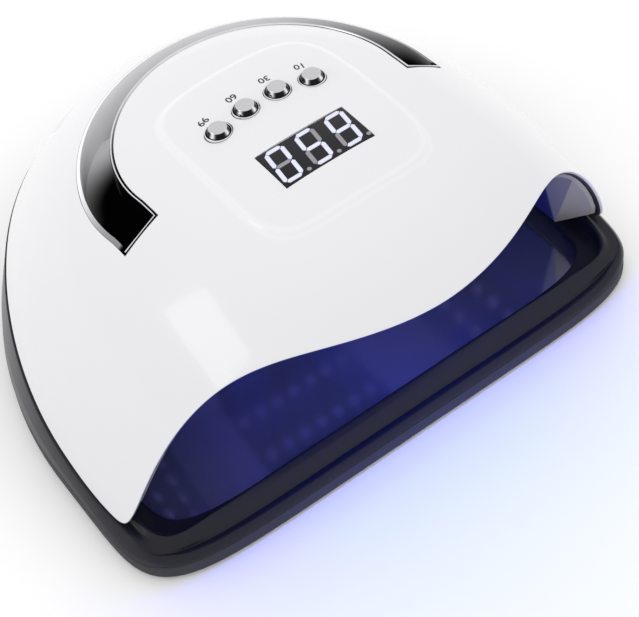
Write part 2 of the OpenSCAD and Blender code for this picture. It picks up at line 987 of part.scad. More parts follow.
module capacitors() {
    color("slateblue")
        panel_frame()
            for (x = [9, 17])
                translate([x, 17, board_top])
                    cylinder(d = 6, h = 5.2);
}
capacitors();

// Ribbon from the control board down to the ceiling emitters, a flat plug at each end
ribbon_y = cy + 4;
plug = [16, 5, 1];
ribbon_thick = 0.6;
module ribbon_cable() {
    low = ceiling_height + board_lift + board_thick - 1 - (ribbon_y - cy - 6) * 0.031 + 0.35;
    high = surface_z(0, display_y) + panel_rise + board_under - 0.25
        - (ribbon_y + 3 - display_y) * sin(tilt) - 0.1;
    color("silver") {
        for (z = [low, high - plug[2]])
            translate([-plug[0] / 2, ribbon_y - plug[1] / 2, z])
                cube(plug);
        translate([1.5 - plug[0] / 2, ribbon_y - ribbon_thick / 2, low + plug[2] / 2])
            cube([plug[0] - 3, ribbon_thick, high - low - plug[2]]);
    }
}
ribbon_cable();

// Power socket: sleeve and flange in the rear wall, pin in the middle
module dc_socket() {
    color("black")
        translate([0, socket_y, socket_height])
            rotate([90, 0, 0])
                difference() {
                    union() {
                        cylinder(d = 9, h = 12);
                        translate([-5.5, -5.5, 7.8])
                            cube([11, 11, 4.2]);
                    }
                    translate([0, 0, -1])
                        cylinder(d = socket_bore, h = 11);
                    translate([0, 0, 9.5])
                        cylinder(d = 1.6, h = 1.5);
                }
}
dc_socket();

module dc_pin() {
    color("silver")
        translate([0, socket_y, socket_height])
            rotate([90, 0, 0]) {
                translate([0, 0, 1])
                    cylinder(d = 2, h = 8.7);
                translate([0, 0, 9.6])
                    cylinder(d = 1.6, h = 1.4);
            }
}
dc_pin();

module cover_screws() {
    color("silver")
        for (p = post_places)
            for (side = [-1, 1])
                translate([side * p[0], p[1], 0]) {
                    translate([0, 0, ring_bottom + 0.2])
                        cylinder(d = 4.6, h = 1.3);
                    translate([0, 0, ring_bottom + 0.2])
                        cylinder(d = 2.3, h = 8);
                }
}
cover_screws();
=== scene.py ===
# %% [markdown]
# The lamp cures nail gel. It is a white domed cover over a black base ring, with a
# dark faceted chamber for the hand, a curved slot that serves as a handle, three
# digits and four timer buttons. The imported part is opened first, because every piece
# made below sits in the same frame and rides on one of its bodies.

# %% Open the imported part
import math

import bmesh
import bpy
import numpy as np
from mathutils import Matrix, Vector


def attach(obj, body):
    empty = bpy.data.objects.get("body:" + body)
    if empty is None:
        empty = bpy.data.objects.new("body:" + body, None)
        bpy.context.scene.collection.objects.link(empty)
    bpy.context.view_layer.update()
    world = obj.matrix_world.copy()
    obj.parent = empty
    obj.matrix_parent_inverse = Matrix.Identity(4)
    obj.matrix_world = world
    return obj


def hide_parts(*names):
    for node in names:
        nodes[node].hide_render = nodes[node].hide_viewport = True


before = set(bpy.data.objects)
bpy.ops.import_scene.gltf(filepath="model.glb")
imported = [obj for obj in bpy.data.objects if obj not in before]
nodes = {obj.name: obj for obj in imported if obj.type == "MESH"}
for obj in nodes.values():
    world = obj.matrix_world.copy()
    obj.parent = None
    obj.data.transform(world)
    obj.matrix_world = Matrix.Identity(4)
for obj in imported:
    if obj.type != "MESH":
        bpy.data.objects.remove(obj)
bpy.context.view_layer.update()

MM = 0.001
print("CAD nodes:", len(nodes))

# %% [markdown]
# The sizes are those of the part, in millimetres. The real cover is moulded, so its
# form is one rule: a plan curve round a shared centre, and a height that falls from
# the crown to the foot. The same rule gives every place on the cover below.

# %% Sizes and plan curves
base_width, front_reach, rear_reach, visor_reach = 230.0, 65.0, 131.5, 84.3
crown_height, crown_lean, ceiling = 110.8, 0.091, 81.0
cover_wall, panel_rise, panel_soft = 2.4, 0.8, 1.3
panel_half_width, panel_half_depth = 34.5, 42.0
centre_y = -(rear_reach - visor_reach) / 2
slot_y, slot_inner, slot_outer = centre_y + 18.1, 54.2, 66.2
dome_half_width = base_width / 2 - 2.8
foot_rise, tray_band, tray_floor, sill_height = 0.8, 8.2, 2.4, 15.5
ring_bottom = tray_band + foot_rise
flange_top, dome_foot = ring_bottom + 2.4, ring_bottom + 3.9


def smooth(value):
    clipped = np.clip(value, 0, 1)
    return clipped * clipped * (3 - 2 * clipped)


def mix(low, high, share):
    return low + (high - low) * share


def plan_reach(turn, side, front, rear, front_power, rear_power):
    behind = np.sin(turn) >= 0
    power = np.where(behind, rear_power, front_power)
    reach = np.where(behind, rear, front)
    across = np.abs(np.cos(turn)) / side
    along = np.abs(np.sin(turn)) / reach
    return (across**power + along**power) ** (-1 / power)


def base_reach(turn):
    return plan_reach(turn, base_width / 2, front_reach, rear_reach, 6.6, 2.06)


def dome_reach(turn):
    return plan_reach(turn, dome_half_width, 142.5, rear_reach + 7, 2.52, 2.06)


def opening_reach(turn):
    return plan_reach(turn, base_width / 2 - 17, front_reach - 15.1, rear_reach - 37.9, 8, 3.2)


def panel_reach(turn):
    return plan_reach(turn, panel_half_width, panel_half_depth, panel_half_depth, 5, 5)


def dome_height(rho, y, depth=0.0):
    fall = np.maximum(1 - rho**2.692, 0) ** (1 / 1.352)
    return dome_foot + (crown_height - crown_lean * y - depth - dome_foot) * fall


def dome_point(turn, rho, depth=0.0, lift=0.0):
    reach = dome_reach(turn)
    radius = rho * (reach - depth)
    height = dome_height(rho, centre_y + rho * reach * np.sin(turn), depth) + lift
    return np.stack(
        [radius * np.cos(turn), centre_y + radius * np.sin(turn), height + 0 * radius], -1
    )


def crown(depth=0.0, lift=0.0):
    return dome_point(np.zeros(1), np.zeros(1), depth, lift)[0]


def surface(x, y):
    turn = np.arctan2(y - centre_y, x)
    radius = np.hypot(x, y - centre_y)
    lift = panel_rise * (1 - smooth((radius - panel_reach(turn)) / (2 * panel_soft) + 0.5))
    return dome_height(radius / dome_reach(turn), y) + lift


def seam_height(y):
    return ring_bottom + 7.7 + 22.3 * smooth((y + 53.1) / 125)


def seam_share(turn):
    low, high = np.full_like(turn, 0.75), np.ones_like(turn)
    for _ in range(24):
        middle = (low + high) / 2
        y = centre_y + middle * dome_reach(turn) * np.sin(turn)
        above = dome_height(middle, y) > seam_height(y)
        low, high = np.where(above, middle, low), np.where(above, high, middle)
    return low


def front_turn(turn):
    away = np.abs(np.degrees(turn) + 90)
    return np.minimum(away, 360 - away)


def rim_share(turn):
    visor = visor_reach + 32.3 * (front_turn(turn) / 67.5) ** 5.54
    return ((visor / dome_reach(turn)) ** -30 + seam_share(turn) ** -30) ** (-1 / 30)


columns = 480
turns = -math.pi / 2 + 2 * math.pi * np.arange(columns) / columns
rims = rim_share(turns)
rear_y = centre_y + rear_reach
print("seam height from", seam_height(-60.0), "to", seam_height(100.0), "mm")

# %% [markdown]
# A few helpers turn points into pieces. Rows of points become quads, closed ends
# become fans, and cuts are Boolean modifiers whose result is kept as a plain mesh.
# The export needs each piece at the origin, so every place goes into the mesh.

# %% Mesh helpers
def quads(rows, across, start=0):
    i, j = np.meshgrid(np.arange(rows - 1), np.arange(across), indexing="ij")
    k = (j + 1) % across
    corners = [i * across + j, i * across + k, (i + 1) * across + k, (i + 1) * across + j]
    return (np.stack(corners, -1).reshape(-1, 4) + start).tolist()


def fan(pole, ring):
    return [[pole, ring + j, ring + (j + 1) % columns] for j in range(columns)]


def side_and_ends(count):
    """Faces of a solid whose two ends have the same number of corners."""
    return quads(2, count) + [list(range(count)), list(range(2 * count - 1, count - 1, -1))]


def shade(mesh, crease):
    mesh.shade_smooth()
    mesh.set_sharp_from_angle(angle=math.radians(crease))


def add_object(name, data):
    made = bpy.data.objects.new(name, data)
    bpy.context.scene.collection.objects.link(made)
    return made


def plain_mesh(source):
    """An object's mesh as its modifiers or its letters make it."""
    graph = bpy.context.evaluated_depsgraph_get()
    return bpy.data.meshes.new_from_object(source.evaluated_get(graph), depsgraph=graph)


def hand_over(piece, body, slot, *stands_for):
    """Say which body carries a piece and the CAD nodes it replaces; the material slot is not used.
    """
    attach(piece, body)
    if stands_for:
        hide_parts(*stands_for)
    print(piece.name, "has", len(piece.data.polygons), "faces")


def make_piece(name, points, faces, finish=None, crease=32):
    mesh = bpy.data.meshes.new(name)
    mesh.from_pydata((np.asarray(points, float) * MM).tolist(), [], faces)
    work = bmesh.new()
    work.from_mesh(mesh)
    bmesh.ops.remove_doubles(work, verts=work.verts, dist=1e-6)
    bmesh.ops.recalc_face_normals(work, faces=work.faces)
    work.to_mesh(mesh)
    work.free()
    if finish:
        mesh.materials.append(finish.material)
    shade(mesh, crease)
    return add_object(name, mesh)


def fill_finishes(mesh):
    """Faces that a bare tool left get the first finish, and empty slots go."""
    named = [i for i, finish in enumerate(mesh.materials) if finish]
    used = np.empty(len(mesh.polygons), np.int32)
    mesh.polygons.foreach_get("material_index", used)
    order = {old: new for new, old in enumerate(named)}
    finishes = [mesh.materials[i] for i in named]
    mesh.materials.clear()
    for finish in finishes:
        mesh.materials.append(finish)
    mesh.polygons.foreach_set("material_index", [order.get(int(i), 0) for i in used])


def settle(piece, crease=32):
    """Keep what the modifiers made as the piece's own mesh."""
    made = plain_mesh(piece)
    piece.modifiers.clear()
    piece.data = made
    fill_finishes(made)
    shade(made, crease)
    return piece


def combine(piece, *tools, how="DIFFERENCE", crease=32):
    for tool in tools:
        modifier = piece.modifiers.new("combine", "BOOLEAN")
        modifier.solver = "MANIFOLD"
        modifier.operation = how
        modifier.object = tool
    settle(piece, crease)
    for tool in tools:
        bpy.data.objects.remove(tool)
    return piece


def closed_rings(name, rows, first_pole, last_pole, finish=None):
    """A skin over closed rings, fanned to a pole at each end."""
    size = len(rows) * columns
    points = np.concatenate([rows.reshape(-1, 3), [first_pole, last_pole]])
    faces = quads(len(rows), columns) + fan(size, 0) + fan(size + 1, size - columns)
    return make_piece(name, points, faces, finish)


def prism(outline, low, high):
    """Upright solid over a plan outline; low and high are numbers or rules of x and y."""
    x, y = np.asarray(outline, float).T
    levels = [level(x, y) if callable(level) else np.full_like(x, level) for level in (low, high)]
    points = np.concatenate([np.stack([x, y, z], -1) for z in levels])
    return make_piece("tool", points, side_and_ends(len(x)))


def turned(name, profile, places, finish=None, sides=64, direction=(0, 0, 1)):
    """Revolve a profile of (radius, height) about each place; both ends close on the axis."""
    profile = np.asarray(profile, float)
    angle = 2 * math.pi * np.arange(sides) / sides
    ring = np.stack([np.cos(angle), np.sin(angle)], -1)
    rows = [np.column_stack([ring * r, np.full(sides, z)]) for r, z in profile]
    axes = np.array(Vector(direction).to_track_quat("Z", "Y").to_matrix())
    local = np.concatenate(rows) @ axes.T
    points, faces = [], []
    for place in places:
        faces += quads(len(profile), sides, start=len(points) * len(local))
        points.append(local + np.asarray(place, float))
    return make_piece(name, np.concatenate(points), faces, finish)


def rounded(profile, radius, steps=4):
    """Round every corner of a closed profile; works on one profile or a stack of them."""
    profile = np.asarray(profile, float)
    before, after = np.roll(profile, 1, -2) - profile, np.roll(profile, -1, -2) - profile
    lengths = [np.linalg.norm(v, axis=-1, keepdims=True) for v in (before, after)]
    reach = [np.minimum(radius, 0.45 * length) / np.maximum(length, 1e-9) for length in lengths]
    start, end = profile + before * reach[0], profile + after * reach[1]
    shares = np.linspace(0, 1, steps)
    corner = [(1 - s) ** 2 * start + 2 * s * (1 - s) * profile + s**2 * end for s in shares]
    made = np.stack(corner, -2)
    return made.reshape(*profile.shape[:-2], profile.shape[-2] * steps, 2)


def polar(radius, degrees):
    turn = math.radians(degrees)
    return radius * math.cos(turn), centre_y + radius * math.sin(turn), 0.0


def around(corners, edge_round=0.5):
    """Round the corners of a profile of radii and heights, and carry it round the centre."""
    profiles = np.stack([np.stack([r, z + 0 * turns], -1) for r, z in corners], 1)
    radius, height = np.moveaxis(rounded(profiles, edge_round), -1, 0)
    x = radius * np.cos(turns)[:, None]
    y = centre_y + radius * np.sin(turns)[:, None]
    return np.stack([x, y, height], -1).transpose(1, 0, 2)


print("helpers ready,", columns, "columns round the lamp")

# %% [markdown]
# Shader maths reads best as plain sums. The small class below wraps a socket, so that
# 1 - mask or low + noise * 0.1 adds the Math nodes by itself. Colours go through Mix
# nodes, because a Math node would turn them grey.

# %% Shader helpers
class Wire:
    def __init__(self, owner, socket):
        self.owner, self.socket = owner, socket

    def maths(self, operation, *values):
        return self.owner.add("Math", {"operation": operation}, *values)

    def __add__(self, other):
        return self.maths("ADD", self, other)

    def __sub__(self, other):
        return self.maths("SUBTRACT", self, other)

    def __rsub__(self, other):
        return self.maths("SUBTRACT", other, self)

    def __mul__(self, other):
        return self.maths("MULTIPLY", self, other)

    def __pow__(self, other):
        return self.maths("POWER", self, other)

    __radd__ = __add__
    __rmul__ = __mul__


class Nodes:
    """Adds nodes to one tree, and feeds their sockets with values or wires."""

    def add(self, kind, settings, *values, out=0, **named):
        node = self.tree.nodes.new(kind if "Node" in kind else "ShaderNode" + kind)
        for key, value in settings.items():
            setattr(node, key, value)
        for index, value in enumerate(values):
            self.feed(node.inputs[index], value)
        for key, value in named.items():
            self.feed(node.inputs[key.replace("_", " ")], value)
        return Wire(self, node.outputs[out])

    def feed(self, socket, value):
        if isinstance(value, Wire):
            self.tree.links.new(value.socket, socket)
        elif isinstance(value, tuple) and len(value) == 3 and socket.type == "RGBA":
            socket.default_value = (*value, 1)
        elif value is not None:
            socket.default_value = value

    def axis(self, name, where=None):
        return self.add("SeparateXYZ", {}, where or self.position, out=name)


class Shading(Nodes):
    """The nodes in front of the shader of a material or of the world."""

    def __init__(self, owner, shader):
        owner.use_nodes = True
        self.tree = owner.node_tree
        self.shader = self.tree.nodes[shader]

    def set(self, **values):
        for key, value in values.items():
            self.feed(self.shader.inputs[key.replace("_", " ")], value)

    def clamp(self, value):
        return self.add("Clamp", {}, value, 0.0, 1.0)

    def between(self, value, low, high):
        """A soft step from 0 at low to 1 at high."""
        return self.add("MapRange", {"interpolation_type": "SMOOTHSTEP"}, value, low, high)

    def blend(self, share, first, second):
        """Mix two colours, whose sockets come after five for numbers and vectors."""
        return self.add("Mix", {"data_type": "RGBA"}, share, *[None] * 5, first, second, out=2)

    def seen_directly(self):
        """1 for what the camera, a mirror or glass shows, 0 for light on the object."""
        first, second, third = (self.add("LightPath", {}, out=name) for name in (
            "Is Camera Ray", "Is Glossy Ray", "Is Transmission Ray"))
        return self.clamp(first + second + third)


class Finish(Shading):
    """A procedural material, built from sums of wires on the standard shader."""

    def __init__(self, name, **values):
        self.material = bpy.data.materials.new(name)
        super().__init__(self.material, "Principled BSDF")
        self.set(**values)
        self.position = self.add("TexCoord", {}, out="Object")

    def noise(self, scale, detail=2.0, where=None):
        return self.add("TexNoise", {}, Vector=where or self.position, Scale=scale, Detail=detail)

    def squeeze(self, x, y, z):
        return self.add("Mapping", {}, Vector=self.position, Scale=(x, y, z))

    def bump(self, height, distance, strength):
        self.set(Normal=self.add("Bump", {}, Height=height, Distance=distance, Strength=strength))


def mottled(name, pattern, dark, pale, rough, relief=None, stretch=None, **values):
    """One noise takes the colour from dark to pale and the roughness up from its least."""
    finish = Finish(name, **values)
    noise = finish.noise(*pattern, finish.squeeze(*stretch) if stretch else None)
    least, change = rough
    finish.set(Base_Color=finish.blend(noise, dark, pale), Roughness=least + noise * change)
    if relief:
        grain, distance, strength = relief
        finish.bump(noise if grain == pattern else finish.noise(*grain), distance, strength)
    return finish


print("shader helpers ready")

# %% [markdown]
# The cover is white moulded plastic with a deep gloss. A fine ripple, like the skin of
# an orange, keeps its reflections from looking like glass, and slow changes of
# roughness stand for the film that hands leave. The base ring is the same kind of
# plastic in black, and the tray under it is textured so that it doesn't slip.

# %% Plastic finishes
cover_white = Finish("cover white", IOR=1.5, Coat_Roughness=0.04)
film = cover_white.noise(18, 4)
ripple = cover_white.noise(700, 1)
place = cover_white.add("VectorMath", {"operation": "SUBTRACT"}, cover_white.position,
                        (0.0, centre_y * MM, 0.0))
place = cover_white.add("VectorMath", {"operation": "ABSOLUTE"}, place)
across = cover_white.axis("X", place) * (1 / (panel_half_width * MM))
along = cover_white.axis("Y", place) * (1 / (panel_half_depth * MM))
edge_share = (across**5 + along**5) ** 0.2
# Painted highlight: the base colour is lighter in a band along the panel's raised edge, where its
# soft step catches the light.
painted_edge_highlight = (cover_white.between(edge_share, 0.93, 0.99)
             * (1 - cover_white.between(edge_share, 1.01, 1.06)))
cover_white.set(
    Base_Color=cover_white.blend(film * 0.3 + painted_edge_highlight * 0.7, (0.825, 0.825, 0.845),
                                 (0.905, 0.905, 0.92)),
    Roughness=0.10 + film * 0.12,
    Coat_Weight=0.40 + film * 0.2,
)
cover_white.bump(ripple, 0.00001, 0.35)

cover_inside = mottled("cover inside", (40, 4), (0.008, 0.008, 0.012), (0.016, 0.016, 0.024),
                       (0.35, 0.2), ((900, 2), 0.00002, 0.3), Specular_IOR_Level=0.3)

base_black = Finish("base black", IOR=1.5, Specular_IOR_Level=0.2, Coat_Roughness=0.06)
swirl = base_black.noise(9, 5)
hair = base_black.noise(1, 2, base_black.squeeze(2600, 160, 900))
base_black.set(
    Base_Color=base_black.blend(swirl, (0.007, 0.007, 0.011), (0.013, 0.013, 0.020)),
    Roughness=0.22 + swirl * 0.12 + hair * 0.06,
    Coat_Weight=0.06 + swirl * 0.08,
)
base_black.bump(hair, 0.000006, 0.3)

tray_grey = Finish("tray grey", Specular_IOR_Level=0.2)
grain = tray_grey.noise(2300, 3)
cloud = tray_grey.noise(24, 3)
tray_grey.set(
    Base_Color=tray_grey.blend(grain * 0.6 + cloud * 0.4, (0.022, 0.022, 0.025),
                               (0.062, 0.062, 0.068)),
    Roughness=0.46 + grain * 0.25,
)
tray_grey.bump(grain, 0.00006, 0.7)

chamber_navy = Finish("chamber navy", IOR=1.5, Coat_Roughness=0.08)
haze_and_glow_patch = chamber_navy.noise(14, 4)
painted_light_facet_mask = chamber_navy.add("Attribute", {"attribute_name": "painted_light_facet"}, out="Fac")
# Painted light: over the lining's dark navy, the facets by the mouth are painted pale grey as a
# painted reflection of the bright room. The marked facets are painted lavender as if lit, and the
# noise paints bright blue patches as painted glow from the emitters.
chamber_navy.set(
    Base_Color=chamber_navy.blend(
        chamber_navy.between(chamber_navy.axis("Y"), -0.0485, -0.0505),
        chamber_navy.blend(
            painted_light_facet_mask,
            chamber_navy.blend(chamber_navy.between(haze_and_glow_patch, 0.42, 0.58), (0.004, 0.005, 0.018),
                               (0.030, 0.034, 0.20)),
            (0.16, 0.15, 0.27)),
        chamber_navy.blend(haze_and_glow_patch, (0.38, 0.36, 0.34), (0.48, 0.46, 0.42))),
    Roughness=0.22 + haze_and_glow_patch * 0.16,
    Coat_Weight=0.1 + haze_and_glow_patch * 0.2,
)
chamber_navy.bump(chamber_navy.noise(420, 2), 0.00002, 0.3)

tray_mirror = mottled("tray mirror", (11, 4), (0.30, 0.30, 0.36), (0.42, 0.42, 0.48),
                      (0.06, 0.10), Metallic=0.85)
rubber = mottled("foot rubber", (1500, 4), (0.020, 0.020, 0.021), (0.050, 0.050, 0.052),
                 (0.70, 0.2), ((1500, 4), 0.00008, 0.6), Specular_IOR_Level=0.3)
moulding = mottled("inner moulding", (60, 4), (0.020, 0.020, 0.022), (0.045, 0.045, 0.048),
                   (0.35, 0.25), ((1200, 2), 0.00003, 0.4))
print("plastics:", len(bpy.data.materials))

# %% [markdown]
# Plated pieces come next. The slot's lining is plating with painted shade and painted
# reflection: pale along its outer edge, black where it is deepest, beside the panel, and
# darker towards its front end, and the same colour glows a little as painted light. So its
# colour follows how far down the section a place lies, worked out from its height under the
# edge and its distance from the slot's centre. Rings and caps are bright plating, and the
# tops of the caps are satin.

# %% Plated finishes
shaded_plating = Finish("plating with painted shade", Specular_IOR_Level=0.0, Emission_Strength=0.22)
streak = shaded_plating.noise(1, 3, shaded_plating.squeeze(30, 30, 420))
ahead_y = shaded_plating.axis("Y")
edge_height = 0.0909 - ahead_y * 0.1638 + ahead_y * ahead_y * 1.583
from_centre = shaded_plating.add("VectorMath", {"operation": "LENGTH"}, shaded_plating.add(
    "VectorMath", {"operation": "MULTIPLY_ADD"}, shaded_plating.position, (1.0, 1.0, 0.0),
    (0.0, -slot_y * MM, 0.0)), out="Value")
way_down = edge_height.maths("MAXIMUM", edge_height - shaded_plating.axis("Z"), 0.0)
way_down = way_down.maths("ABSOLUTE", way_down + slot_outer * MM - from_centre)
falling = (52 + shaded_plating.between(ahead_y, 0.010, -0.012) * 30
           - shaded_plating.between(ahead_y, 0.015, 0.045) * 42)
# Painted shade and painted reflection: pale where the lining meets the cover's face, black deep
# down beside the panel, and darker towards the front end. Real reflections are turned off, and the
# same colour glows a little as painted light.
painted_lightness = (0.92 - way_down * falling - shaded_plating.between(ahead_y, 0.024, -0.012) * 0.36
             - shaded_plating.between(ahead_y, -0.015, -0.019) * 0.9)
painted_shade_grade = shaded_plating.blend(shaded_plating.clamp(painted_lightness + streak * 0.02) ** 2.2,
                     (0.001, 0.001, 0.001), (0.96, 0.96, 0.98))
shaded_plating.set(Base_Color=painted_shade_grade, Emission_Color=painted_shade_grade, Roughness=0.16 + streak * 0.10)

chrome = mottled("chrome", (160, 3), (0.62, 0.62, 0.64), (0.80, 0.80, 0.82), (0.05, 0.10),
                 Metallic=1.0)

flank = Finish("cap flank", Metallic=1.0)
painted_reflection = flank.add("Attribute", {"attribute_name": "painted_reflection"}, out="Fac")
# The flank's base colour is a painted reflection: black, with bright streaks and a bright top edge
# read from the stored attribute.
flank.set(
    Base_Color=flank.blend(painted_reflection, (0.012, 0.012, 0.014), (0.90, 0.90, 0.92)),
    Roughness=0.07 + flank.noise(160, 3) * 0.08,
)

satin = mottled("satin cap", (1900, 3), (0.52, 0.52, 0.54), (0.66, 0.66, 0.68), (0.30, 0.14),
                ((1900, 3), 0.00001, 0.4), Metallic=0.85)
steel = mottled("plated steel", (1, 3), (0.45, 0.46, 0.48), (0.68, 0.69, 0.70), (0.24, 0.18),
                stretch=(2200, 2200, 300), Metallic=1.0)
print("with plating:", len(bpy.data.materials))

# %% [markdown]
# The digits are printed windows in a black block: lit bars glow pale lavender, unlit
# ones stay grey. The emitters are clear domes that glow violet blue. Boards, chips and
# cans are seen only when the housing is taken apart, and still get their own finish.

# %% Display, emitter and board finishes
display_black = mottled("display black", (40, 3), (0.006, 0.006, 0.009), (0.014, 0.014, 0.020),
                        (0.22, 0.1), Specular_IOR_Level=0.25)

segment_lit = Finish("segment lit", Emission_Strength=0.5, Roughness=0.35)
glow = segment_lit.noise(500, 2)
segment_lit.set(
    Base_Color=segment_lit.blend(glow, (0.35, 0.36, 0.42), (0.45, 0.46, 0.52)),
    Emission_Color=segment_lit.blend(glow, (0.70, 0.72, 0.95), (0.86, 0.88, 1.0)),
)

segment_dim = Finish("segment dim", Roughness=0.4)
dust = segment_dim.noise(700, 2)
segment_dim.set(Base_Color=segment_dim.blend(dust, (0.26, 0.25, 0.27), (0.34, 0.33, 0.35)))

emitter = Finish("emitter lens", Emission_Strength=0.1, IOR=1.45)
core = emitter.add("Attribute", {"attribute_name": "core"}, out="Fac")
emitter.set(
    Base_Color=emitter.blend(core, (0.03, 0.03, 0.22), (0.14, 0.13, 0.36)),
    Emission_Color=emitter.blend(core, (0.10, 0.12, 0.95), (0.55, 0.45, 1.0)),
    Roughness=0.12 + emitter.noise(900, 2) * 0.1,
)

eye_tint = mottled("sensor eye", (800, 2), (0.03, 0.01, 0.02), (0.10, 0.03, 0.05), (0.08, 0.1),
                   IOR=1.5)

board_green = Finish("board green")
tracks = board_green.add("TexBrick", {"offset": 0.5}, board_green.position,
                         (0.010, 0.075, 0.030), (0.014, 0.095, 0.038),
                         (0.004, 0.035, 0.014), Scale=160.0, Mortar_Size=0.012)
board_green.set(Base_Color=tracks, Roughness=0.30 + board_green.noise(300, 3) * 0.2)
board_green.bump(board_green.noise(900, 2), 0.00004, 0.4)

chip_black = mottled("chip black", (1600, 3), (0.015, 0.015, 0.016), (0.045, 0.045, 0.047),
                     (0.45, 0.2), ((1600, 3), 0.00003, 0.5))
can_sleeve = mottled("can sleeve", (1, 3), (0.30, 0.31, 0.34), (0.55, 0.56, 0.60), (0.28, 0.2),
                     stretch=(400, 400, 2600), Metallic=0.7)
number_ink = mottled("number ink", (900, 3), (0.012, 0.012, 0.014), (0.035, 0.035, 0.038),
                     (0.45, 0.2))

ribbon_grey = Finish("ribbon grey")
strand = ribbon_grey.add("TexWave", {"bands_direction": "X"}, ribbon_grey.position, Scale=250.0)
ribbon_grey.set(
    Base_Color=ribbon_grey.blend(strand, (0.38, 0.38, 0.39), (0.62, 0.62, 0.63)),
    Roughness=0.40 + strand * 0.15,
)
ribbon_grey.bump(strand, 0.0001, 0.6)
print("finishes:", len(bpy.data.materials))

# %% [markdown]
# The slot is one open space: a curved band behind the panel with a sloping floor, and
# a passage under the handle to the rear. It is built as a solid, grown by a little or
# a lot, so that one cuts the cover and two of them make the lining between.

# %% The slot's open space
slot_front, slot_tilt = centre_y + 4.8, math.radians(11.3)
rear_opening, passage_y, slot_lining = 46.0, slot_y + slot_inner, 1.4
handle_under = float(surface(0.0, slot_y + slot_outer + 23.6))
handle_floor = float(seam_height(100.0)) + 6.1


def band_outline(grow, steps=96):
    sides = []
    for radius in (slot_outer + grow, slot_inner - grow):
        first = math.asin((slot_front - grow - slot_y) / radius)
        angle = np.linspace(first, math.pi - first, steps)
        across, along = np.cos(angle), np.sin(angle)
        straight = np.sign(across) * np.maximum(np.abs(across), 0.996)
        across = np.where(along < 0, straight, across)
        sides.append(np.stack([radius * across, slot_y + radius * along], -1))
    return np.concatenate([sides[0], sides[1][::-1]])


def slot_floor(grow):
    def rule(_, y):
        top = (ceiling + 2.4 - grow) / math.cos(slot_tilt)
        return top - math.tan(slot_tilt) * (y - slot_front + grow)
    return rule


def slot_space(grow):
    wide = rear_opening + grow
    space = prism(band_outline(grow), slot_floor(grow), 130)
    deep = prism(band_outline(grow), handle_under - 2 - grow, 130)
    zone = prism([(-wide, passage_y - grow), (wide, passage_y - grow), (wide, 150),
                  (-wide, 150)], 0, 140)
    combine(deep, zone, how="INTERSECT")
    sides = [(passage_y - grow, handle_under + grow), (150, handle_under + grow),
             (150, handle_floor - 4 - grow), (rear_y - 3.5, handle_floor - grow),
             (passage_y - grow, handle_under - 4 - grow)]
    points = [(x, y, z) for x in (-wide, wide) for y, z in sides]
    passage = make_piece("tool", points, side_and_ends(len(sides)))
    return combine(space, deep, passage, how="UNION")


def dome_solid(depth):
    rings = 48
    shares = np.sin(np.pi / 2 * np.arange(1, rings + 1) / rings)
    rows = np.stack([dome_point(turns, share, depth) for share in shares])
    return closed_rings("tool", rows, crown(depth), (0, centre_y, dome_foot))


print("the slot runs", slot_outer - slot_inner, "mm wide to a rear opening of", rear_opening)

# %% [markdown]
# The cover is a loft of closed rings: over the raised panel, across its soft edge,
# down the dome to the rim, round the rim and back up inside. Its mesh lines follow the
# panel and the rim, so both stay crisp without a subdivision. The slot, the digit
# window and the button holes are cut out afterwards.

# %% The cover
inner_rows, flat_shares, rim_steps = 36, (0.7, 0.4), 5


def rounded_rim(share, corner=0.6, steps=rim_steps):
    outer, inner = dome_point(turns, share), dome_point(turns, share, cover_wall)
    down = outer - dome_point(turns, share - 0.002)
    down /= np.linalg.norm(down, axis=-1, keepdims=True)
    inward = inner - outer
    inward /= np.linalg.norm(inward, axis=-1, keepdims=True)
    rows = []
    for point, start, end in ((outer, -down, inward), (inner, -inward, -down)):
        for s in np.linspace(0, 1, steps):
            rows.append(point + corner * ((1 - s) ** 2 * start + s**2 * end))
    rows.insert(steps, (outer + inner) / 2)
    return rows


def cover_rings():
    reach, panel = dome_reach(turns), panel_reach(turns)
    inner_edge, outer_edge = (panel - panel_soft) / reach, (panel + panel_soft) / reach
    rows = [dome_point(turns, f * inner_edge, 0, panel_rise) for f in np.arange(1, 25) / 24]
    for s in np.arange(1, 9) / 8:
        rows.append(dome_point(turns, mix(inner_edge, outer_edge, s), 0,
                               panel_rise * (1 - smooth(s))))
    step = np.linalg.norm(dome_point(turns, rims) - dome_point(turns, rims - 0.002), axis=-1)
    rim = rims - 0.6 * 0.002 / step
    for f in np.sin(np.pi / 2 * np.arange(1, 56) / 56):
        rows.append(dome_point(turns, mix(outer_edge, rim, f)))
    rows += rounded_rim(rims)
    for f in np.sin(np.pi / 2 * np.arange(inner_rows - 1, -1, -1) / inner_rows):
        rows.append(dome_point(turns, mix(panel / reach, rim, f), cover_wall))
    for f in flat_shares:
        rows.append(dome_point(turns, f * panel / reach, cover_wall))
    return np.stack(rows)


rings = cover_rings()
cover = closed_rings("cover", rings, crown(lift=panel_rise), crown(cover_wall), cover_white)
cover.data.materials.append(cover_inside.material)
inside_row = len(rings) - inner_rows - len(flat_shares) - rim_steps - 1
lies_inside = np.arange(len(cover.data.polygons)) >= inside_row * columns
lies_inside[(len(rings) - 1) * columns:-columns] = False
cover.data.polygons.foreach_set("material_index", lies_inside.astype(np.int32))

display_y, panel_tilt = centre_y - 14.8, math.radians(4.5)
display_width, display_depth, window_gap = 35.6, 18.4, 0.25
panel_origin = np.array([0, display_y, float(surface(0.0, display_y))])
panel_axes = np.array([[1, 0, 0], [0, math.cos(panel_tilt), math.sin(panel_tilt)],
                       [0, -math.sin(panel_tilt), math.cos(panel_tilt)]])


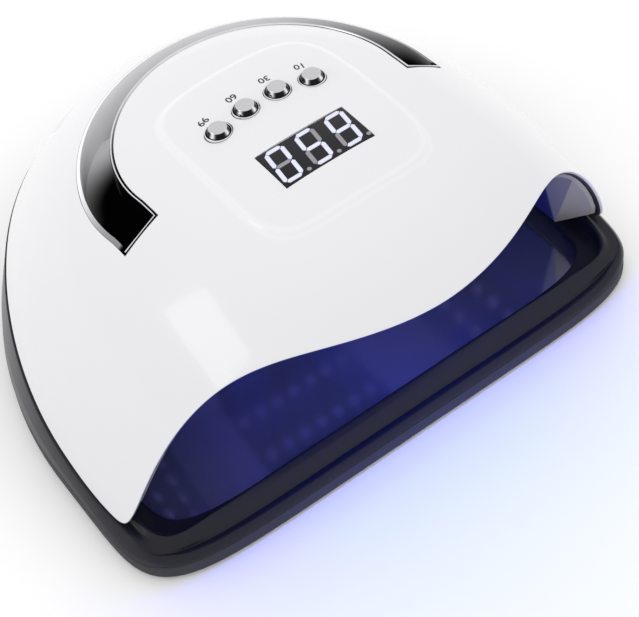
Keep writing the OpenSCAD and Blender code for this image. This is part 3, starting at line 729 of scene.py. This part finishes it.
def on_panel(points):
    """From the panel's tilted frame to the lamp's frame; the axes are the rows."""
    turn_back = panel_axes * np.array([[1, 1, 1], [1, 1, -1], [1, -1, 1]])
    return np.asarray(points, float) @ turn_back + panel_origin


up_panel = on_panel([(0, 0, 1)])[0] - panel_origin
button_places = {"99": (-19.6, 28.8), "60": (-6.65, 31.2), "30": (6.65, 31.2), "10": (19.6, 28.8)}


def panel_drop(x, y):
    """How far the cover's face lies above the panel's frame at a place on it."""
    ahead = display_y + y * math.cos(panel_tilt)
    return float(surface(x, ahead)) - panel_origin[2] + y * math.sin(panel_tilt)


def panel_box(name, width, depth, low, high, finish=None, crease=32):
    """A box on the panel's frame, centred on its origin."""
    corners = [(x, y, z) for z in (low, high) for x, y in (
        (-width, -depth), (width, -depth), (width, depth), (-width, depth))]
    return make_piece(name, on_panel(np.array(corners) * (0.5, 0.5, 1)), side_and_ends(4),
                      finish, crease)


window = panel_box("tool", display_width + 2 * window_gap, display_depth + 2 * window_gap, -9, 9)
holes = [turned("tool", [(0, -12), (5.15, -12), (5.15, 8), (0, 8)],
                on_panel([(x, y, 0)]), direction=up_panel) for x, y in button_places.values()]
combine(cover, slot_space(slot_lining + 0.2), window, *holes)
hand_over(cover, "housing", "white_gloss", "top_cover")

# %% [markdown]
# The lining is what lies between the slot's space and the same space grown by the
# lining's wall, cut off flush with the cover. Taking one solid from the other gives
# walls of even thickness all the way into the passage, as the moulded part has.

# %% The slot's lining
lining = combine(slot_space(slot_lining), dome_solid(0.05), how="INTERSECT")
lining.name = lining.data.name = "slot_lining"
combine(lining, slot_space(0), crease=25)
lining.data.materials.append(shaded_plating.material)
hand_over(lining, "housing", "smoke_chrome", "handle_liner")

# %% [markdown]
# A thin bright bead runs along the lining's inner edge and across both front ends. It
# follows a path, so Geometry Nodes sweep a flat oval along it. The path is a chain of
# edges laid on the cover's face.

# %% Bright edge bead
class PointTree(Nodes):
    """A Geometry Nodes tree with named sizes, which ends in plain geometry and a finish."""

    def __init__(self, name, **sizes):
        self.tree = bpy.data.node_groups.new(name, "GeometryNodeTree")
        socket = self.tree.interface.new_socket
        socket("Geometry", in_out="INPUT", socket_type="NodeSocketGeometry")
        for key, value in sizes.items():
            socket(key, in_out="INPUT", socket_type="NodeSocketFloat").default_value = value
        socket("Finish", in_out="INPUT", socket_type="NodeSocketMaterial")
        socket("Geometry", in_out="OUTPUT", socket_type="NodeSocketGeometry")
        self.given = self.tree.nodes.new("NodeGroupInput").outputs

    def input(self, name):
        return Wire(self, self.given[name])

    def close(self, geometry):
        whole = self.add("GeometryNodeRealizeInstances", {}, geometry)
        painted = self.add("GeometryNodeSetMaterial", {}, Geometry=whole,
                           Material=self.input("Finish"))
        self.feed(self.tree.nodes.new("NodeGroupOutput").inputs[0], painted)

    def run(self, name, points, edges, finish, crease=32, vectors=None, **sizes):
        """Run on loose points and edges, and keep the result as a plain mesh."""
        mesh = bpy.data.meshes.new(name)
        mesh.from_pydata((np.asarray(points, float) * MM).tolist(), edges, [])
        for key, values in (vectors or {}).items():
            made = mesh.attributes.new(key, "FLOAT_VECTOR", "POINT")
            made.data.foreach_set("vector", np.asarray(values, float).ravel())
        piece = add_object(name, mesh)
        modifier = piece.modifiers.new("tree", "NODES")
        modifier.node_group = self.tree
        given = {**sizes, "Finish": finish.material}
        for item in self.tree.interface.items_tree:
            if item.in_out == "INPUT" and item.name in given:
                modifier[item.identifier] = given[item.name]
        return settle(piece, crease)


bead_tree = PointTree("edge bead", Width=0.0014, Height=0.0006)
path = bead_tree.add("GeometryNodeMeshToCurve", {}, Mesh=bead_tree.input("Geometry"))
path = bead_tree.add("GeometryNodeSetCurveNormal", {}, Curve=path)
oval = bead_tree.add("GeometryNodeCurvePrimitiveCircle", {}, Resolution=16, Radius=0.5)
flat = bead_tree.add("CombineXYZ", {}, bead_tree.input("Height"), bead_tree.input("Width"), 1.0)
oval = bead_tree.add("GeometryNodeTransform", {}, Geometry=oval, Scale=flat)
bead_tree.close(bead_tree.add("GeometryNodeCurveToMesh", {}, Curve=path, Profile_Curve=oval,
                              Fill_Caps=True))

slot_line = band_outline(slot_lining / 2)
last_outer = len(slot_line) // 2 - 1
slot_line = np.concatenate([slot_line[last_outer:], slot_line[:1]])
slot_line = np.column_stack([slot_line, surface(*slot_line.T) + 0.05])
slot_bead = bead_tree.run("slot_bead", slot_line, [(i, i + 1) for i in range(len(slot_line) - 1)],
                          chrome, Width=0.0011, Height=0.0006)
hand_over(slot_bead, "housing", "smoke_chrome")

# %% [markdown]
# The base ring and the tray are profiles carried round the same plan curve. Each
# corner of a profile is rounded first, so every edge catches a line of light as a
# moulded edge does. The vents, the socket's bore and the recesses are cut afterwards.

# %% The base ring
def corner_stretch(turn, step=1e-3):
    """A width seen along the ray from the centre, over the same width across the edge."""
    slope = (base_reach(turn + step) - base_reach(turn - step)) / (2 * step * base_reach(turn))
    return np.sqrt(1 + slope**2)


def base_rings():
    """Rings of the base. Each step of its lip has its width in from the front edge, its
    radius at the rear, and its height at the front and at the rear."""
    w = smooth((front_turn(turns) - 57) / 12)
    g = corner_stretch(turns)
    s = seam_share(turns) * dome_reach(turns)
    b = base_reach(turns)
    wall = np.minimum(b - 0.3, s + 0.9)
    low, ledge = ring_bottom, seam_height(centre_y + s * np.sin(turns)) - 0.9
    inner = mix(b - 13.6 * g, mix(s - 6.4, b - 4, smooth((ledge - low - 8) / 12)), w)
    opening = opening_reach(turns)
    top = mix(sill_height, ledge + 1.7, w)
    lip = (
        (0.9, mix(b, wall, 0.3), low + 2.2, mix(low, ledge, 0.4)),
        (2.4, mix(b, wall, 0.65), low + 3.1, mix(low, ledge, 0.7)),
        (3.9, wall, low + 2.8, ledge - 0.3),
        (5.2, wall - 0.4, low + 2, ledge),
        (6.4, s - 1.8, low + 3.6, ledge),
        (9.4, s - 3.2, low + 5.4, ledge),
        (12, s - 4.8, sill_height, ledge + 1.7),
        (13, s - 6.2, sill_height - 0.3, top),
        (13.4, s - 6.4, sill_height - 1.2, ledge - 0.4),
    )
    corners = [(b - 1.2, low), (b - 0.2, low + 0.5), (b - 0.2, low + 0.9)]
    corners += [(mix(b - width * g, radius, w), mix(front_height, height, w))
                for width, radius, front_height, height in lip]
    corners += [(inner, flange_top), (opening + 0.6, flange_top), (opening, flange_top - 0.6),
                (opening, low)]
    return around(corners)


rows = base_rings()
rows = np.concatenate([rows, rows[:1]])
base = make_piece("base_ring", rows.reshape(-1, 3), quads(len(rows), columns), base_black)
magnet_spots = [polar(*place) for place in ((86, -40), (86, -140), (110, 60), (110, 120))]
post_spots = [polar(share * float(dome_reach(math.radians(turn))), turn)
              for turn, share in ((50, 0.86), (-3.5, 0.933))]
post_spots = [(side * x, y, 0.0) for side in (-1, 1) for x, y, _ in post_spots]


def rod(radius, low, high, spots):
    profile = [(0, low), (radius, low), (radius, high), (0, high)]
    return turned("tool", profile, spots, sides=48)


vent_in, vent_out, vent_pitch = rear_y - 8, rear_y + 22, 6
vents = [prism([(x + 1, vent_in), (x - 1, vent_in), (x - 1, vent_out), (x + 1, vent_out)],
               ring_bottom + 13, ring_bottom + 22)
         for x in range(-30, 31, vent_pitch) if abs(x) > 10]
bore = turned("tool", [(0, -6), (4.7, -6), (4.7, 14), (0, 14)],
              [(0, rear_y - 1.4, ring_bottom + 17)], direction=(0, -1, 0))
combine(base, rod(3.45, flange_top + 0.05, 60, post_spots), rod(1.4, 0, 24, post_spots),
        rod(2.5, 4, ring_bottom + 1.5, post_spots),
        rod(4.2, 4, ring_bottom + 1.1, magnet_spots), bore, *vents)
hand_over(base, "housing", "black_gloss", "base_frame")

# %% [markdown]
# The tray's profile closes on the centre instead of leaving an opening. Its floor is a
# polished plate, and four bosses on it hold the magnets.

# %% The tray
def tray_rings():
    b, flat = base_reach(turns), np.ones_like(turns)
    corners = [(b - 3, foot_rise), (b - 1, foot_rise + 0.5), (b - 0.1, foot_rise + 1.6),
               (b, foot_rise + 2.6), (b - 0.2, foot_rise + tray_band - 1.2),
               (b - 1, tray_band + 0.2), (b - 2, tray_band + 0.3), (b - 3.6, tray_band + 0.3),
               (b - 4, foot_rise + tray_floor), (40 * flat, foot_rise + tray_floor)]
    return around(corners)[:-6]


rows = tray_rings()
tray = closed_rings("tray_plate", rows, (0, centre_y, rows[0, 0, 2]),
                    (0, centre_y, rows[-1, 0, 2]), tray_grey)
boss = rod(5.5, foot_rise + 1, foot_rise + tray_band - 0.2, magnet_spots)
combine(tray, boss, how="UNION")
foot_spots = [polar(*place) for place in ((84, -38), (84, -142), (104, 58), (104, 122))]
combine(tray, rod(4, tray_band - 1.6, 12, magnet_spots), rod(6, -1, foot_rise + 0.8, foot_spots))
tray.data.materials.append(tray_mirror.material)
for face in tray.data.polygons:
    if face.normal.z > 0.9 and face.center.z < (foot_rise + tray_floor + 1) * MM:
        face.material_index = 1
hand_over(tray, "tray", "tray_plastic", "tray")

# %% [markdown]
# Feet and magnets are short turned discs. The feet have a soft edge and a shallow dish
# so that they grip; the magnets are plated and sit flush in their bosses.

# %% Feet, magnets and pads
foot_profile = [(0, 0.25), (3.6, 0.25), (4.2, 0.0), (5.5, 0.0), (5.9, 0.15), (6.0, 0.5),
                (6.0, 1.6), (0, 1.6)]
feet = turned("feet", foot_profile, foot_spots, rubber)
hand_over(feet, "tray", "foot_rubber", "rubber_feet")


def disc(radius, low, high, edge=0.2):
    return [(0, low), (radius - edge, low), (radius, low + edge), (radius, high - edge),
            (radius - edge, high), (0, high)]


magnets = turned("magnets", disc(4, tray_band - 1.6, tray_band + 0.6), magnet_spots, steel)
hand_over(magnets, "tray", "steel", "tray_magnets")
pads = turned("pads", disc(4, ring_bottom + 0.1, ring_bottom + 1.1), magnet_spots, steel)
hand_over(pads, "housing", "steel", "steel_pads")

# %% [markdown]
# The chamber's lining is a folded form of flat facets, already right in the part. A
# copy is merged, and the facets that catch the most light are marked, so that its
# finish can paint them paler, as painted light.

# %% The chamber's lining
lining_mesh = nodes["chamber_liner"].data.copy()
lining_mesh.name = "chamber_lining"
chamber = add_object("chamber_lining", lining_mesh)
work = bmesh.new()
work.from_mesh(lining_mesh)
bmesh.ops.remove_doubles(work, verts=work.verts, dist=2e-6)
bmesh.ops.dissolve_limit(work, angle_limit=math.radians(1.5), verts=work.verts, edges=work.edges)
work.to_mesh(lining_mesh)
work.free()
lining_mesh.materials.clear()
lining_mesh.materials.append(chamber_navy.material)
# Painted light: facets that face down and lean sideways are marked here, and the finish paints them
# lavender.
pale = [0.2 < abs(face.normal.x) < 0.5 and face.normal.z < 0 for face in lining_mesh.polygons]
painted_light_facet = lining_mesh.attributes.new("painted_light_facet", "FLOAT", "FACE")
painted_light_facet.data.foreach_set("value", np.array(pale, float))
shade(lining_mesh, 14)
hand_over(chamber, "housing", "navy_gloss", "chamber_liner")

# %% [markdown]
# The emitters repeat on four faces of the chamber. Each face gives a grid of points
# with the direction it looks in.

# %% Emitter places
half_base, foot_z = base_width / 2 - 17, flange_top + 0.3
front_y, mid_y, back_y = (centre_y + v for v in (-26.4, 0.2935 * rear_reach, 0.6616 * rear_reach))


def face_frame(origin, along_face, across_face):
    y = np.array(along_face, float) / np.linalg.norm(along_face)
    z = np.cross(y, np.array(across_face, float) / np.linalg.norm(across_face))
    z /= np.linalg.norm(z)
    return np.array(origin, float), np.stack([np.cross(y, z), y, z])


def side_frame(side):
    rise = ceiling - foot_z
    a, b, c, d = (np.array(corner) for corner in (
        (0.93 * half_base, front_y, foot_z + 0.45 * rise),
        (0.663 * half_base, front_y, ceiling - 10),
        (0.88 * half_base, mid_y, foot_z + 0.42 * rise), (0.61 * half_base, mid_y, ceiling - 12)))
    origin, axes = face_frame((a + b + c + d) / 4, c - a, b - a)
    flip = np.array([side, 1, 1])
    return origin * flip, axes * flip


top_frame = face_frame([0, (front_y + mid_y) / 2, ceiling - 1], [0, mid_y - front_y, -2],
                       [-1, 0, 0])
rear_frame = (np.array([0, back_y, handle_floor - 17]),
              np.array([[1, 0, 0], [0, 0, -1], [0, 1, 0.0]]))


def spread(face, across_count, along_count, across_step, along_step):
    origin, axes = face
    places = [((i - (across_count - 1) / 2) * across_step,
               (j - (along_count - 1) / 2) * along_step, 0)
              for i in range(across_count) for j in range(along_count)]
    return np.array(places) @ axes + origin, np.repeat(-axes[2:], len(places), 0)


groups = [spread(top_frame, 7, 3, 8.6, 20), spread(side_frame(-1), 2, 6, 15, 9.6),
          spread(side_frame(1), 2, 6, 15, 9.6), spread(rear_frame, 6, 2, 9.6, 8)]
lens_points, lens_facing = (np.concatenate(part) for part in zip(*groups))
print("emitters:", len(lens_points))

# %% [markdown]
# One tree puts a domed lens on every point. It stretches the lower half of a ball into
# a short barrel, and stores how near a place is to the top of the dome, which lets the
# finish glow brightest there.

# %% Emitter lenses
lens_radius, lens_depth, lens_sink = 0.0025, 0.005, 0.001
lens_tree = PointTree("domed lenses", Radius=lens_radius, Depth=lens_depth)
ball = lens_tree.add("GeometryNodeMeshUVSphere", {}, Segments=24, Rings=14,
                     Radius=lens_tree.input("Radius"))
place = lens_tree.add("GeometryNodeInputPosition", {})
x, y, z = (lens_tree.axis(name, place) for name in "XYZ")
height = z.maths("MAXIMUM", z.maths("MINIMUM", z, z * 8.0), lens_tree.input("Depth") * -1.0)
moved = lens_tree.add("CombineXYZ", {}, x, y, height - lens_sink)
shaped = lens_tree.add("GeometryNodeSetPosition", {}, Geometry=ball, Position=moved)
share = z.maths("DIVIDE", z + lens_sink, lens_radius)
marked = lens_tree.add(
    "GeometryNodeStoreNamedAttribute", {"data_type": "FLOAT", "domain": "POINT"},
    Geometry=shaped, Name="core", Value=z.maths("MAXIMUM", share, 0.0))
looks = lens_tree.add("GeometryNodeInputNamedAttribute", {"data_type": "FLOAT_VECTOR"},
                      Name="facing")
aligned = lens_tree.add("FunctionNodeAlignRotationToVector", {"axis": "Z"}, Vector=looks)
lens_tree.close(lens_tree.add(
    "GeometryNodeInstanceOnPoints", {}, Points=lens_tree.input("Geometry"), Instance=marked,
    Rotation=aligned))
lenses = lens_tree.run("emitter_lenses", lens_points, [], emitter, crease=40,
                       vectors={"facing": lens_facing}, Radius=lens_radius, Depth=lens_depth)
hand_over(lenses, "housing", "lens", "lenses_top", "lenses_left", "lenses_right", "lenses_rear")

# %% [markdown]
# The digit block is a black box in the cover's window, with two rows of pins under it.
# Its bars are kept from the part.

# %% Digit block
block = panel_box("digit_block", display_width, display_depth, -7.4, -0.4, display_black, crease=50)
bevel = block.modifiers.new("edge", "BEVEL")
bevel.width, bevel.segments = 0.3 * MM, 3
settle(block, crease=50)
pin_pitch, pin_row = 2.54, 7.6
pins = turned("digit_pins", disc(0.3, -10.5, -7.3, 0.08), on_panel([
    ((i - 2.5) * pin_pitch, side * pin_row, 0) for side in (-1, 1) for i in range(6)]),
    steel, sides=12, direction=up_panel)
hand_over(block, "housing", "display_black", "display_module")
hand_over(pins, "housing", "display_black")

# %% [markdown]
# Each button is a turned cap with a mirror flank and a satin top, in a thin bright
# ring. The flank is painted with a reflection, black with bright streaks and a bright
# top edge, stored on it in place of what a mirror would show. The plain
# numbers follow the cover's face.

# %% Buttons, rings and numbers
cap_top, cap_foot, cap_height = 3.15, 4.15, 2.3


def cap_profile(drop):
    """Stem, foot flange, a skirt that leans in, a small round edge and the flat top."""
    top = drop + cap_height
    skirt = [(mix(cap_foot, cap_top + 0.25, s) + 0.25 * s * (1 - s), mix(drop + 0.3, top - 0.5, s))
             for s in np.linspace(0, 1, 12)]
    edge = [(cap_top - 0.2 + 0.45 * math.sin(a), top - 0.45 + 0.45 * math.cos(a))
            for a in np.linspace(math.pi / 2, 0, 6)]
    return [(0, -5.6), (2.6, -5.6), (2.6, drop - 4), (3.9, drop - 4), (3.9, drop - 0.4),
            (cap_foot, drop - 0.1), *skirt, *edge, (2.0, top), (0, top)]


ring_profile = [(4.35, -3), (4.9, -3), (4.9, 0.1), (4.86, 0.3), (4.75, 0.44), (4.62, 0.5),
                (4.49, 0.44), (4.39, 0.3), (4.35, 0.1), (4.35, -3)]
ring_places = []
for label, (x, y) in button_places.items():
    drop = panel_drop(x, y)
    place = on_panel([(x, y, 0)])
    cap = turned("cap_" + label, cap_profile(drop), place, flank, sides=96, direction=up_panel)
    cap.data.materials.append(satin.material)
    offsets = np.array([v.co for v in cap.data.vertices]) / MM - place[0]
    turn = np.arctan2(offsets[:, 1], offsets[:, 0]) + math.radians(120)
    rise = (offsets @ up_panel - drop) / cap_height
    # Painted reflection: bright streaks at four places round the flank above its foot, and a bright
    # band at the top edge.
    bright = (0.5 + 0.5 * np.cos(4 * turn + 2.4)) ** 6 * (rise > 0.2) + smooth((rise - 0.9) / 0.08)
    made = cap.data.attributes.new("painted_reflection", "FLOAT", "POINT")
    made.data.foreach_set("value", np.clip(bright, 0, 1))
    for face in cap.data.polygons:
        if (np.array(face.center) / MM - place[0]) @ up_panel > drop + cap_height - 0.1:
            face.material_index = 1
    hand_over(cap, "key_" + label, "button_chrome", "button_" + label)
    ring_places.append(on_panel([(x, y, drop)])[0])
rings_piece = turned("cap_rings", ring_profile, ring_places, chrome, sides=96, direction=up_panel)
hand_over(rings_piece, "housing", "chrome", "button_rings")
number_size, number_bold, number_lift = 4.3, 0.06, 0.04


def number(label, x, y, turn):
    curve = bpy.data.curves.new("number_" + label, "FONT")
    curve.body, curve.size, curve.offset = label, number_size * MM, number_bold * MM
    curve.align_x = curve.align_y = "CENTER"
    letters = add_object("number_" + label, curve)
    mesh = plain_mesh(letters)
    bpy.data.objects.remove(letters)
    c, s = math.cos(turn), math.sin(turn)
    for vertex in mesh.vertices:
        u, v = vertex.co.x / MM, vertex.co.y / MM
        px, py = x + u * c - v * s, y + u * s + v * c
        vertex.co = Vector((px, py, float(surface(px, py)) + number_lift)) * MM
    mesh.materials.append(number_ink.material)
    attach(add_object("number_" + label, mesh), "housing")


for label, (x, y) in button_places.items():
    spot = on_panel([(x * 1.04, y + 8.8, 0)])[0]
    number(label, spot[0], spot[1], math.pi - x * 0.012)
print("buttons:", list(button_places))

# %% [markdown]
# The other solids of the part are already right. They keep their meshes and only take
# their finishes here.

# %% Finishes for the solids that stay
kept = (
    (segment_lit, "lit_segments"), (segment_dim, "dim_segments"), (eye_tint, "sensor_eyes"),
    (moulding, "plunger_99 plunger_60 plunger_30 plunger_10 switches dc_socket"),
    (board_green, "control_board led_board_top led_board_left led_board_right led_board_rear"),
    (chip_black, "control_chips"), (can_sleeve, "capacitors"), (ribbon_grey, "ribbon_cable"),
    (steel, "dc_pin cover_screws board_screws liner_screws"),
)
for finish, names in kept:
    for name in names.split():
        nodes[name].data.materials.clear()
        nodes[name].data.materials.append(finish.material)
print("finishes on solids that stay:", len(kept))

# %% [markdown]
# The lamp stands on a plain pale floor under soft light. Inside the chamber, blue
# lights stand in for the emitters' spill, which runs out over the sill and onto the
# floor in front. They ride on the housing, as the emitters do.

# %% Floor and lights
floor_white = Finish("floor", Roughness=0.9, Specular_IOR_Level=0.0, Emission_Strength=1.0)
seen = floor_white.seen_directly()
floor_white.set(Base_Color=floor_white.blend(
    seen, floor_white.blend(floor_white.noise(3, 2), (0.80, 0.80, 0.81), (0.82, 0.82, 0.83)),
    (1.0, 1.0, 1.0)),
    Emission_Color=floor_white.blend(seen, (0.0, 0.0, 0.0), (0.05, 0.05, 0.05)))
floor = make_piece("floor", [(-4000, -4000, 0), (4000, -4000, 0), (4000, 4000, 0),
                             (-4000, 4000, 0)], [[0, 1, 2, 3]], floor_white)

world = bpy.data.worlds.new("studio")
bpy.context.scene.world = world
sky = Shading(world, "Background")
sky.set(Color=(1.0, 1.0, 1.0), Strength=0.88 + sky.seen_directly() * 0.12)


def area_light(name, place, aim, size, power, colour=(1, 1, 1), rider=None):
    lamp = bpy.data.lights.new(name, "AREA")
    lamp.shape, lamp.size, lamp.size_y = "RECTANGLE", size[0], size[1]
    lamp.energy, lamp.color = power, colour
    made = add_object(name, lamp)
    made.location = place
    made.rotation_euler = (Vector(aim) - Vector(place)).to_track_quat("-Z", "Y").to_euler()
    if rider:
        made.visible_camera = made.visible_glossy = False
        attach(made, rider)
    return made


key = area_light("key", (0.45, 0.80, 1.35), (0, 0, 0.05), (1.5, 1.5), 3.6)
key.visible_glossy = False
area_light("soft box", (-1.45, 0.50, 0.98), (0, 0, 0.05), (0.85, 0.65), 2.25)
area_light("chamber glow", (0, -0.03, 0.074), (0, -0.10, 0.0), (0.10, 0.03), 0.08,
           (0.05, 0.12, 1.0), "housing")
area_light("visor glow", (0, -0.094, 0.060), (0, -0.17, 0.0), (0.13, 0.01), 0.13,
           (0.03, 0.07, 1.0), "housing")
tray_glow = area_light("tray glow", (0, -0.02, 0.008), (0.01, -0.01, 0.08), (0.08, 0.05),
                       0.032, (0.14, 0.14, 1.0), "housing")
tray_glow.data.spread = math.radians(115)
print("lights:", len(bpy.data.lights))

# %% [markdown]
# The camera was fitted to the photograph from measured points of the outline, the
# seam, the panel and the slot: it looks down at the lamp from its front left.

# %% Camera and hand-over
lens = bpy.data.cameras.new("camera")
lens.sensor_fit, lens.sensor_width, lens.lens = "HORIZONTAL", 36.0, 98.26
lens.clip_end = 20
camera = add_object("camera", lens)
right, up, ahead = ((0.80372768, -0.58961334, -0.07986189), (0.50790862, 0.60996596, 0.60825189),
                    (0.3099204, 0.52943143, -0.78971622))
view_axes = Matrix((right, up, tuple(-v for v in ahead))).transposed()
camera.matrix_world = Matrix.Translation((-0.204547, -0.377243, 0.536854)) @ view_axes.to_4x4()
bpy.context.scene.camera = camera
bpy.context.scene.view_settings.view_transform = "Standard"
